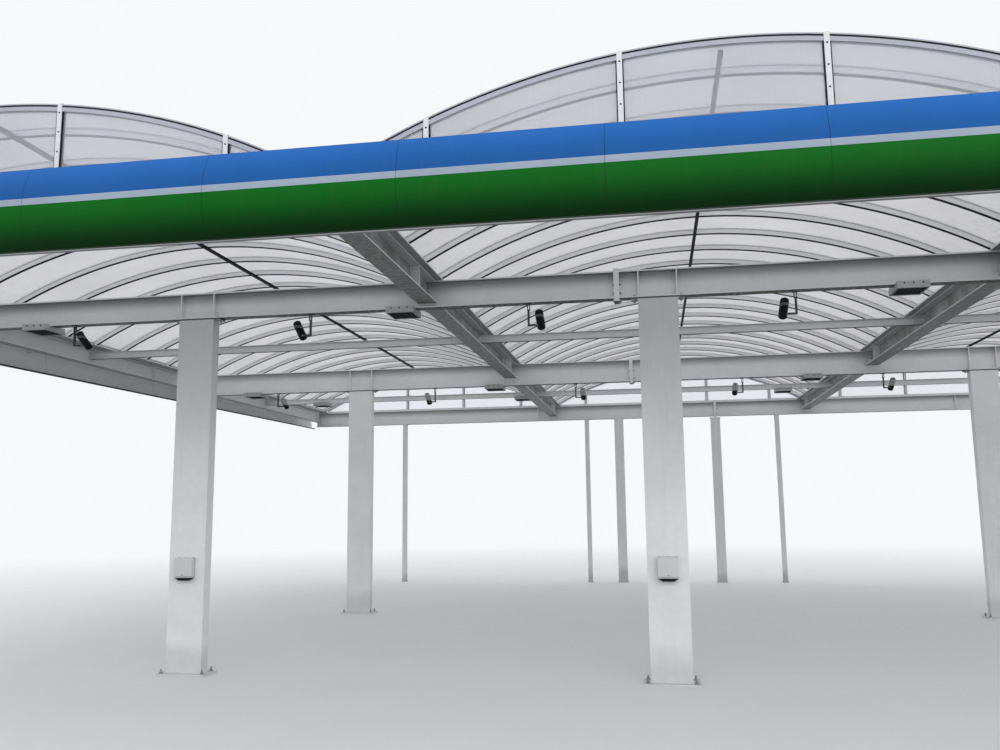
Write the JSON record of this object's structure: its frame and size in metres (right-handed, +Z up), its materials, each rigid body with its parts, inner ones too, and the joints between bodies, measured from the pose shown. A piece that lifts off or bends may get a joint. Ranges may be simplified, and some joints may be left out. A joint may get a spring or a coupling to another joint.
{
  "type": "filling station canopy",
  "caption": "Open filling station canopy: translucent barrel vaults on a steel frame and box columns, with a curved striped fascia, downlights and cameras.",
  "frame": {"origin": "bottom centre of the whole canopy's box, on the level of the column feet", "axes": "+X along the striped front to the right, +Y from the front to the back, +Z up"},
  "size_m": [26.88, 23.69, 7.108],
  "materials": {
    "frame_steel": "pale grey paint, satin, faint dust on the lower flanges",
    "column_steel": "pale grey paint, satin, scuffed near the ground",
    "post_steel": "white paint, satin",
    "bolt_zinc": "zinc-coated bolts, dull",
    "seal_rubber": "black gasket rubber",
    "vault_sheet": "translucent ribbed sheet, cloudy bluish white",
    "gable_sheet": "translucent ribbed sheet, cloudy pale grey",
    "glazing_bar": "mill aluminium with dark gasket lines",
    "ridge_bar": "dark grey paint",
    "gutter": "galvanised grey",
    "eaves_rail": "white paint",
    "fascia_blue": "gloss mid blue panel",
    "fascia_white": "gloss bluish white stripe",
    "fascia_green": "gloss deep green panel",
    "fascia_trim": "satin aluminium edge",
    "white_housing": "white enamel",
    "light_lens": "dark glass look, glossy",
    "bracket_steel": "grey paint",
    "dark_housing": "dark grey, slightly glossy",
    "dispenser_plastic": "white plastic"
  },
  "bodies": {
    "root": {"column_front_left": "column_steel", "column_front_middle": "column_steel", "column_front_right": "column_steel", "column_back_left": "column_steel", "column_back_middle": "column_steel", "column_back_right": "column_steel", "front_edge_beam": "frame_steel", "front_main_beam_left": "frame_steel", "front_main_beam_right": "frame_steel", "back_main_beam_left": "frame_steel", "back_main_beam_right": "frame_steel", "rear_edge_beam_left": "frame_steel", "rear_edge_beam_right": "frame_steel", "left_edge_beam": "frame_steel", "left_valley_beam": "frame_steel", "right_valley_beam": "frame_steel", "right_edge_beam": "frame_steel", "middle_tie_beams": "frame_steel", "rear_tie_beams": "frame_steel", "rear_posts": "post_steel", "left_vault_sheet": "vault_sheet", "middle_vault_sheet": "vault_sheet", "right_vault_sheet": "vault_sheet", "left_vault_ribs": "glazing_bar", "middle_vault_ribs": "glazing_bar", "right_vault_ribs": "glazing_bar", "ridge_bars": "ridge_bar", "valley_gutters": "gutter", "edge_gutters": "gutter", "eaves_rails": "eaves_rail", "front_gable_frames": "glazing_bar", "front_gable_sheets": "gable_sheet", "rear_gable_frames": "glazing_bar", "rear_gable_sheets": "gable_sheet", "fascia_blue_band": "fascia_blue", "fascia_white_stripe": "fascia_white", "fascia_green_band": "fascia_green", "fascia_bottom_trim": "fascia_trim", "fascia_brackets": "frame_steel", "downlight_housings": "white_housing", "downlight_lenses": "light_lens", "camera_brackets": "bracket_steel", "camera_housings": "dark_housing", "towel_dispensers": "dispenser_plastic"}
  },
  "joints": []
}
